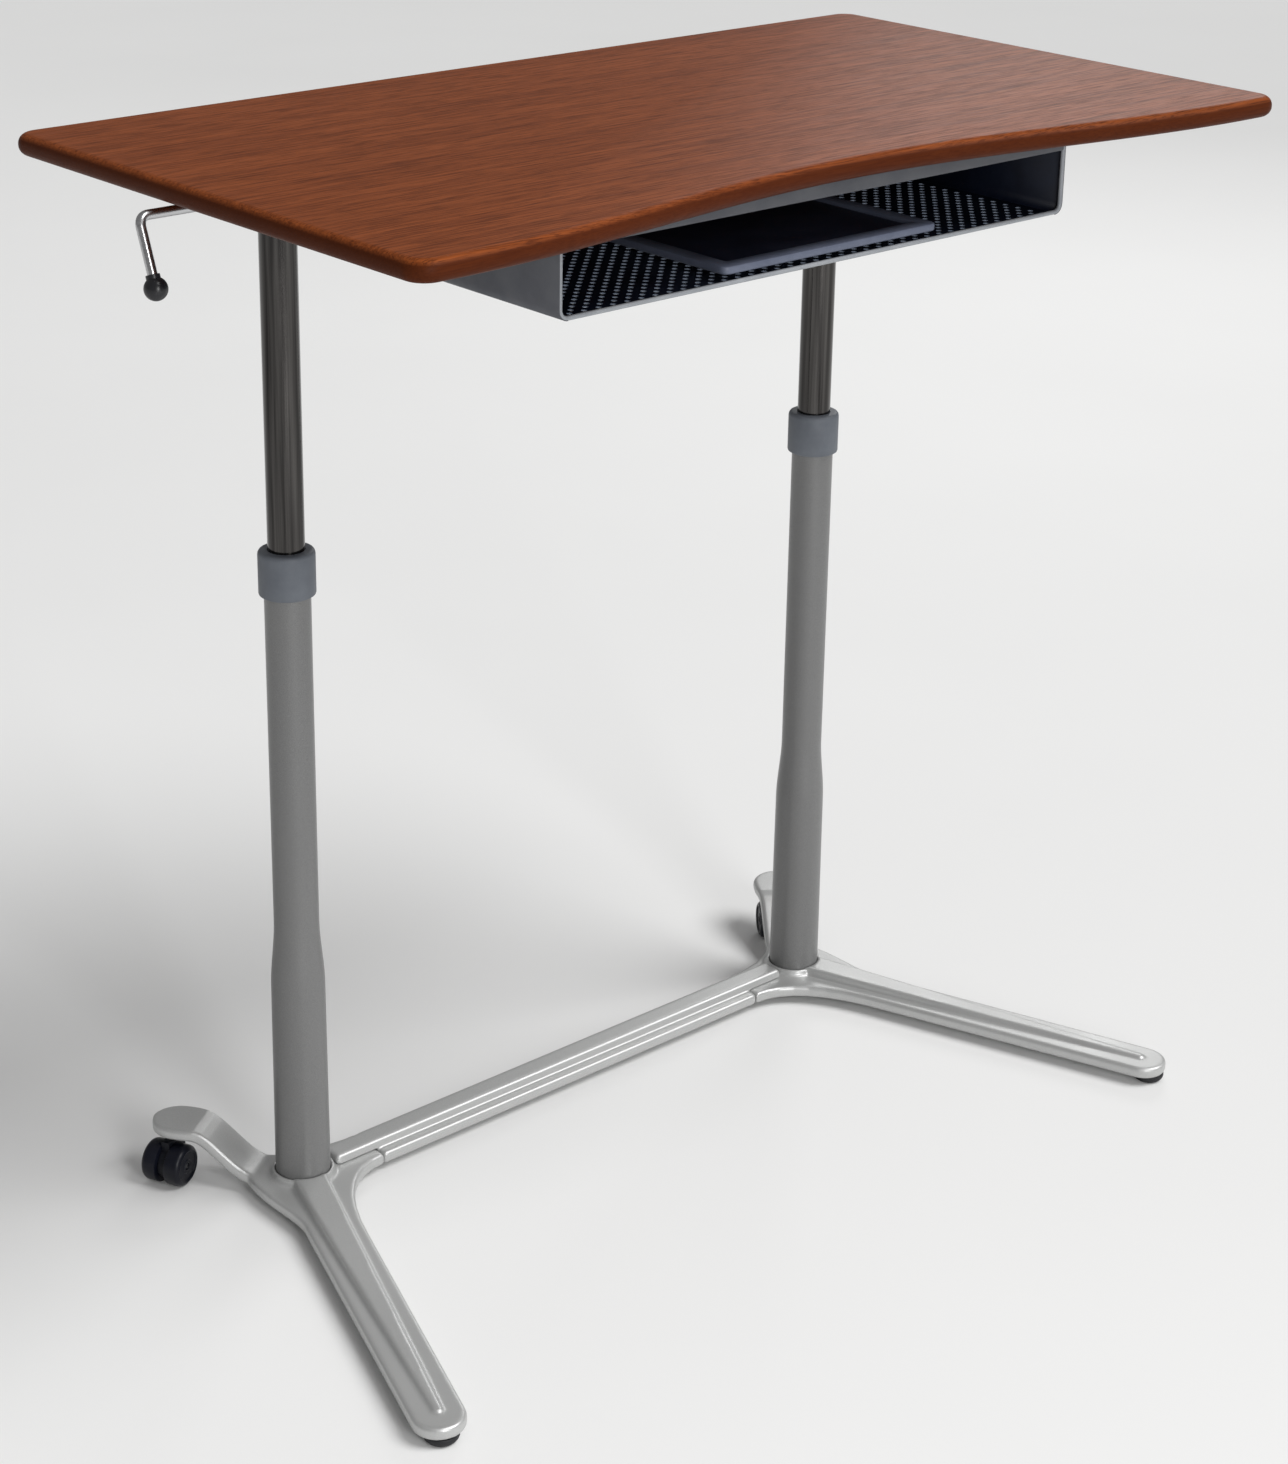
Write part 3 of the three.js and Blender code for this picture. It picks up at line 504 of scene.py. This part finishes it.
def perforated_sheet(name, x, y, z):
    """A flat sheet whose square cells carry a round hole in every second place."""
    bm = bmesh.new()
    columns = round((x[1] - x[0]) / PERF_PITCH)
    rows = round((y[1] - y[0]) / PERF_PITCH)
    step = ((x[1] - x[0]) / columns, (y[1] - y[0]) / rows)
    grid = {}
    for i in range(columns + 1):
        for j in range(rows + 1):
            grid[i, j] = bm.verts.new(Vector((x[0] + i * step[0], y[0] + j * step[1], z)) * MM)
    for i in range(columns):
        for j in range(rows):
            cell = [grid[i, j], grid[i + 1, j], grid[i + 1, j + 1], grid[i, j + 1]]
            edge = i in (0, columns - 1) or j in (0, rows - 1)
            if edge or (i + j) % 2:
                bm.faces.new(cell)
                continue
            centre = sum((v.co for v in cell), Vector()) / 4
            hole = []
            for k in range(8):
                angle = math.radians(202.5 + 45 * k)
                offset = Vector((math.cos(angle), math.sin(angle), 0)) * PERF_RADIUS * MM
                hole.append(bm.verts.new(centre + offset))
            for k in range(4):
                a, b = cell[k], cell[(k + 1) % 4]
                first, second, third = hole[2 * k], hole[2 * k + 1], hole[(2 * k + 2) % 8]
                bm.faces.new([a, second, first])
                bm.faces.new([a, b, third, second])
    mesh = bpy.data.meshes.new(name)
    bm.to_mesh(mesh)
    bm.free()
    return mesh


def build_shelf():
    low, high = corners("storage_shelf")
    for label, side in SIDES:
        path = shelf_wall_path(low, high, side)
        mesh = swept(f"shelf_wall_{label}", path, low.y + 0.5, high.y, side)
        wall = new_piece(f"shelf_wall_{label}", mesh, "lift_top", ["storage_shelf"], "shelf_paint")
        # The walls' inner shells take the near-black inside colour: painted shade.
        wall.data.materials.append(MATERIALS["shelf_floor"])
        solidified(wall, SHEET, -1).material_offset = 1
    floor = perforated_sheet("shelf_perforated_floor", (low.x + SHELF_CORNER, high.x - SHELF_CORNER),
                             (low.y + 1, high.y), low.z + SHEET)
    # The floor's top takes the near-black inside colour (painted shade), its underside the grey paint.
    piece = new_piece("shelf_perforated_floor", floor, "lift_top", ["storage_shelf"], "shelf_floor")
    for material in ("shelf_paint", "perforation_rim_painted_light"):
        floor.materials.append(MATERIALS[material])
    sheet = solidified(piece, FLOOR_SHEET, -1)
    sheet.material_offset = 1
    # The hole rims take the lighter rim colour: painted light.
    sheet.material_offset_rim = 2
    build_shelf_back(low, high)
    build_shelf_front(low, high)


def build_shelf_back(low, high):
    back = boxed("shelf_back_wall", (low.x + 2, high.y - SHEET, low.z + 3), (high.x - 2, high.y, high.z), 0.5)
    wall = new_piece("shelf_back_wall", back, "lift_top", ["storage_shelf"], "shelf_paint")
    wall.data.materials.append(MATERIALS["shelf_floor"])
    # Faces that look into the shelf take the near-black inside colour: painted shade.
    for polygon in back.polygons:
        polygon.material_index = 1 if polygon.normal.y < -0.5 else 0
    lip = boxed("shelf_back_lip", (low.x + SHELF_LIP, high.y - SHELF_LIP, high.z - SHEET),
                (high.x - SHELF_LIP, high.y, high.z), 0.5)
    new_piece("shelf_back_lip", lip, "lift_top", ["storage_shelf"], "shelf_paint")


def build_shelf_front(low, high):
    rail = boxed("shelf_front_rail", (low.x + 2, low.y, RAIL_BOTTOM),
                 (high.x - 2, low.y + RAIL_DEPTH, high.z), 2.2)
    new_piece("shelf_front_rail", rail, "lift_top", ["storage_shelf"], "shelf_paint")
    radius = MOUTH_RIM_RADIUS
    bend = SHELF_CORNER - radius
    y = low.y + radius
    points = [(low.x + radius, y, high.z - 2)]
    for i in range(9):
        angle = math.radians(90 * i / 8)
        points.append((low.x + radius + bend * (1 - math.cos(angle)), y,
                       low.z + radius + bend * (1 - math.sin(angle))))
    centre = (low.x + high.x) / 2
    mirrored = [(2 * centre - x, py, z) for x, py, z in reversed(points)]
    # The mouth rim takes the light rim colour: painted highlight.
    curve_piece("shelf_mouth_rim", points + mirrored, radius, "lift_top", ["storage_shelf"], "shelf_rim")


def tray_ring(low, high, margin, corner, inset, z):
    """One ring of the tray's section, margin inside its outer edge and pulled in by inset."""
    outline = rounded_rectangle((low.x + margin, low.y + margin), (high.x - margin, high.y - margin),
                                corner, inset)
    return [(x, y, z) for x, y in outline]


def build_tray():
    low, high = corners("shelf_tray")
    bottom, top = high.z - TRAY_THICKNESS, high.z
    outside = ((1.2, bottom), (0.4, bottom + 0.4), (0, bottom + 1.2), (0, top - 1.6), (0.5, top - 0.5),
               (1.6, top))
    inside = ((0, top), (0.5, top - 0.4), (0.9, top - 1.2), (1.2, top - TRAY_RIM_DEPTH))
    rings = [tray_ring(low, high, 0, TRAY_CORNER, inset, z) for inset, z in outside]
    rings += [tray_ring(low, high, TRAY_RIM_WIDTH, 3.0, inset, z) for inset, z in inside]
    new_piece("tray_frame", loft("tray_frame", rings), "shelf_tray", ["shelf_tray"], "tray_paint")
    inner = TRAY_RIM_WIDTH + 1.4
    floor = top - TRAY_RIM_DEPTH
    panel = boxed("tray_panel", (low.x + inner, low.y + inner, floor - 0.6),
                  (high.x - inner, high.y - inner, floor + 0.3), 0.25)
    new_piece("tray_panel", panel, "shelf_tray", ["shelf_tray"], "tray_panel")
    radius = TRAY_FOOT_RADIUS
    profile = [(0, low.z), (radius - 0.8, low.z), (radius, low.z + 0.8), (radius, bottom + 0.4),
               (0, bottom + 0.4)]
    for i, x in enumerate((low.x + TRAY_FOOT_INSET, high.x - TRAY_FOOT_INSET)):
        for j, y in enumerate((low.y + TRAY_FRONT_FOOT_INSET, high.y - TRAY_FOOT_INSET)):
            mesh = turned(f"tray_foot_{2 * i + j + 1}", profile, Matrix.Translation((x, y, 0)), 32)
            new_piece(mesh.name, mesh, "shelf_tray", ["shelf_tray"], "glide_rubber")


# ------------------------------------------------------------------ columns
def column_profile(bottom, top):
    """The painted tube's section, thicker below a smooth taper."""
    outer = [(BASE_RADIUS, bottom), (SHAFT_FOOT_RADIUS, TAPER_START)]
    for i in range(1, TAPER_STEPS):
        t = i / TAPER_STEPS
        blend = t * t * (3 - 2 * t)
        outer.append((SHAFT_FOOT_RADIUS - (SHAFT_FOOT_RADIUS - SHAFT_RADIUS) * blend,
                      TAPER_START + (TAPER_END - TAPER_START) * t))
    outer += [(SHAFT_RADIUS, TAPER_END), (SHAFT_RADIUS, top)]
    return outer + [(radius - TUBE_WALL, z) for radius, z in reversed(outer)]


def collar_profile(bottom, top):
    """A rounded ring on the tube, with a thin sleeve down inside it."""
    skirt = top - COLLAR_HEIGHT
    radius = COLLAR_RADIUS
    return [(COLLAR_BORE, top), (COLLAR_BORE, bottom), (COLLAR_SLEEVE_BORE, bottom),
            (COLLAR_SLEEVE_BORE, COLUMN_RIM), (COLLAR_CLEAR_RADIUS, COLUMN_RIM), (COLLAR_CLEAR_RADIUS, skirt),
            (radius - 1.1, skirt), (radius - 0.4, skirt + 0.5), (radius, skirt + 1.6), (radius, top - 4),
            (radius - 0.4, top - 2.2), (radius - 1.3, top - 0.9), (radius - 2.7, top - 0.2),
            (radius - 3.9, top)]


def build_columns():
    for label, _ in SIDES:
        axis = middle(f"{label}_outer_tube")
        place = Matrix.Translation((axis.x, axis.y, 0))
        low, high = corners(f"{label}_outer_tube")
        mesh = turned(f"{label}_column_tube", column_profile(low.z, high.z), place)
        new_piece(mesh.name, mesh, "base", [f"{label}_outer_tube"], "column_paint")

        low, high = corners(f"{label}_inner_tube")
        chrome = [(CHROME_BORE, low.z), (CHROME_RADIUS, low.z), (CHROME_RADIUS, high.z),
                  (CHROME_BORE, high.z)]
        mesh = turned(f"{label}_chrome_tube", chrome, place)
        new_piece(mesh.name, mesh, "lift_top", [f"{label}_inner_tube"], "chrome")

        low, high = corners(f"{label}_collar")
        mesh = turned(f"{label}_collar_ring", collar_profile(low.z, high.z), place)
        new_piece(mesh.name, mesh, "base", [f"{label}_collar"], "collar_plastic")


# ------------------------------------------------------------------ castings
def softened_casting(name, node):
    """A fine remeshed copy of a CAD casting whose edges and inside corners are rounded over."""
    mesh = NODES[node].data.copy()
    mesh.name = name
    mesh.materials.clear()
    piece = new_piece(name, mesh, "base", [node], "cast_paint")
    weld = piece.modifiers.new("weld", "WELD")
    weld.merge_threshold = 1e-6
    remesh = piece.modifiers.new("fine_skin", "REMESH")
    remesh.mode = "VOXEL"
    remesh.voxel_size = VOXEL * MM
    remesh.use_smooth_shade = True
    smooth = piece.modifiers.new("cast_fillets", "SMOOTH")
    smooth.factor = 0.5
    smooth.iterations = CAST_SMOOTHING


def build_castings():
    for label, _ in SIDES:
        softened_casting(f"{label}_cast_foot", f"{label}_leg_casting")
    softened_casting("cast_stretcher", "stretcher")


# ------------------------------------------------------------------ glides and casters
def build_glides():
    radius, neck = GLIDE_RADIUS, GLIDE_NECK
    profile = [(0, 0), (radius - 4.4, 0), (radius - 2.8, 0.5), (radius - 1.6, 1.6), (radius - 0.5, 3.2),
               (radius, 4.6), (radius, 7.2), (radius - 0.5, 8.0), (neck, 8.0), (neck, 16.0),
               (neck - 0.5, 16.5), (0, 16.5)]
    for label, _ in SIDES:
        axis = middle(f"{label}_glide")
        mesh = turned(f"{label}_foot_glide", profile, Matrix.Translation((axis.x, axis.y, 0)))
        new_piece(mesh.name, mesh, f"{label}_glide", [f"{label}_glide"], "glide_rubber")


def caster_place(label, wheel):
    """A frame whose Z runs out along the axle from the caster's middle plane through one wheel."""
    hub = middle(f"{label}_caster_wheel_{wheel}")
    centre = middle(f"{label}_caster_axle")
    outward = (hub - centre).normalized()
    turn = Vector((0, 0, 1)).rotation_difference(outward).to_matrix().to_4x4()
    return Matrix.Translation(centre) @ turn


def build_casters():
    radius, inner, outer = WHEEL_RADIUS, WHEEL_HALF_GAP, WHEEL_HALF_GAP + WHEEL_WIDTH
    profile = [(WHEEL_BORE, inner), (radius - 1.0, inner), (radius - 0.3, inner + 0.4), (radius, inner + 1.2),
               (radius, outer - 5.0), (radius - 0.4, outer - 3.2), (radius - 1.4, outer - 1.6),
               (radius - 3.0, outer - 0.4), (radius - 4.2, outer), (radius - 5.2, outer - 0.3),
               (radius - 6.2, outer - 1.4), (6.8, outer - 1.4), (6.0, outer - 0.8), (WHEEL_BORE, outer - 0.8)]
    for label, _ in SIDES:
        for wheel in "ab":
            node = f"{label}_caster_wheel_{wheel}"
            mesh = turned(f"{label}_wheel_{wheel}", profile, caster_place(label, wheel), 80)
            new_piece(mesh.name, mesh, node, [node], "caster_tread")


# ------------------------------------------------------------------ crank
def build_crank():
    inner_end = corners("crank_rod")[1].x
    knob_centre, arm = joint_line("knob_spin")
    elbow = knob_centre - arm * CRANK_ARM
    along = Vector((1, 0, 0))
    start, finish = elbow + along * CRANK_BEND, elbow + arm * CRANK_BEND
    points = [Vector((inner_end, elbow.y, elbow.z)), start + along * 4]
    for i in range(13):
        t = i / 12
        points.append(start * (1 - t) ** 2 + elbow * 2 * t * (1 - t) + finish * t * t)
    points.append(knob_centre - arm)
    curve_piece("bent_crank_rod", points, CRANK_RADIUS, "crank", ["crank_rod"], "crank_chrome")

    profile = [(0, -KNOB_RADIUS)]
    neck_angle = math.acos(KNOB_NECK / KNOB_RADIUS)
    for i in range(1, 25):
        angle = -math.pi / 2 + (neck_angle + math.pi / 2) * i / 24
        profile.append((KNOB_RADIUS * math.cos(angle), KNOB_RADIUS * math.sin(angle)))
    bore, mouth = CRANK_RADIUS + 0.3, KNOB_RADIUS + 1.5
    profile += [(KNOB_NECK, mouth - 0.3), (KNOB_NECK - 0.3, mouth), (bore, mouth), (bore, -0.3), (0, -0.3)]
    turn = Vector((0, 0, -1)).rotation_difference(arm).to_matrix().to_4x4()
    mesh = turned("ball_knob", profile, Matrix.Translation(knob_centre) @ turn, 64)
    new_piece("ball_knob", mesh, "crank_knob", ["crank_knob"], "knob_plastic")


# ------------------------------------------------------------------ CAD nodes that stay
def finish_kept_nodes():
    shown_by_piece = {node for piece in bpy.data.objects for node in piece.get("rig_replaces", [])}
    for name, node in NODES.items():
        node.data.materials.clear()
        node.data.materials.append(MATERIALS[SLOT_OF[name]])
        if name in shown_by_piece:
            continue
        weld = node.modifiers.new("weld", "WELD")
        weld.merge_threshold = 1e-6
        for polygon in node.data.polygons:
            polygon.use_smooth = True
        split = node.modifiers.new("crisp_edges", "EDGE_SPLIT")
        split.split_angle = math.radians(32)


# ------------------------------------------------------------------ stage, lights and camera
def build_stage():
    bpy.ops.mesh.primitive_plane_add(size=40, location=(0, 0, 0))
    floor = bpy.context.object
    floor.name = "studio_floor"
    s = Shader("pale_floor")
    color = s.mix(s.noise(1.2, 3), (0.80, 0.80, 0.795), (0.84, 0.84, 0.835))
    s.link(color, s.bsdf.inputs["Base Color"])
    s.set(Roughness=0.7)
    floor.data.materials.append(s.material)
    world = bpy.data.worlds.new("soft_studio")
    bpy.context.scene.world = world
    world.use_nodes = True
    background = world.node_tree.nodes["Background"]
    background.inputs["Color"].default_value = (0.95, 0.95, 0.95, 1)
    background.inputs["Strength"].default_value = 0.28
    bpy.context.scene.view_settings.view_transform = "Standard"


def soft_light(name, place, aim, size, power):
    light = bpy.data.lights.new(name, "AREA")
    light.shape = "RECTANGLE"
    light.size, light.size_y = size
    light.energy = power
    lamp = bpy.data.objects.new(name, light)
    lamp.location = place
    lamp.rotation_euler = (Vector(aim) - Vector(place)).to_track_quat("-Z", "Y").to_euler()
    bpy.context.scene.collection.objects.link(lamp)


def build_lights():
    sun = bpy.data.lights.new("broad_key", "SUN")
    sun.energy = 2.3
    sun.angle = math.radians(35)
    lamp = bpy.data.objects.new("broad_key", sun)
    lamp.rotation_euler = Vector((-0.55, 0.75, -1.25)).to_track_quat("-Z", "Y").to_euler()
    bpy.context.scene.collection.objects.link(lamp)
    soft_light("front_softbox", (-1.1, -3.4, 1.6), (0, 0, 0.5), (0.9, 2.0), 55)
    soft_light("rear_softbox", (3.4, 2.2, 2.3), (0.4, 0, 0.9), (1.4, 1.2), 20)


def build_camera():
    azimuth, elevation, roll = -0.7338, 0.3538, 0.0171
    forward = Vector((-math.sin(azimuth) * math.cos(elevation), math.cos(azimuth) * math.cos(elevation),
                      -math.sin(elevation)))
    level = forward.cross(Vector((0, 0, 1))).normalized()
    upright = level.cross(forward)
    right = level * math.cos(roll) + upright * math.sin(roll)
    up = right.cross(forward)
    data = bpy.data.cameras.new("photo_view")
    data.sensor_width = 36.0
    data.lens = 72.86
    data.shift_x, data.shift_y = -0.0006, -0.1118
    data.clip_end = 100
    camera = bpy.data.objects.new("photo_view", data)
    turn = Matrix((right, up, -forward)).transposed().to_4x4()
    camera.matrix_world = Matrix.Translation((-1.64577, -1.81136, 1.47729)) @ turn
    bpy.context.scene.collection.objects.link(camera)
    bpy.context.scene.camera = camera


build_camera()
build_stage()
build_lights()
build_top()
build_shelf()
build_tray()
build_columns()
build_castings()
build_glides()
build_casters()
build_crank()
finish_kept_nodes()

bpy.context.view_layer.update()
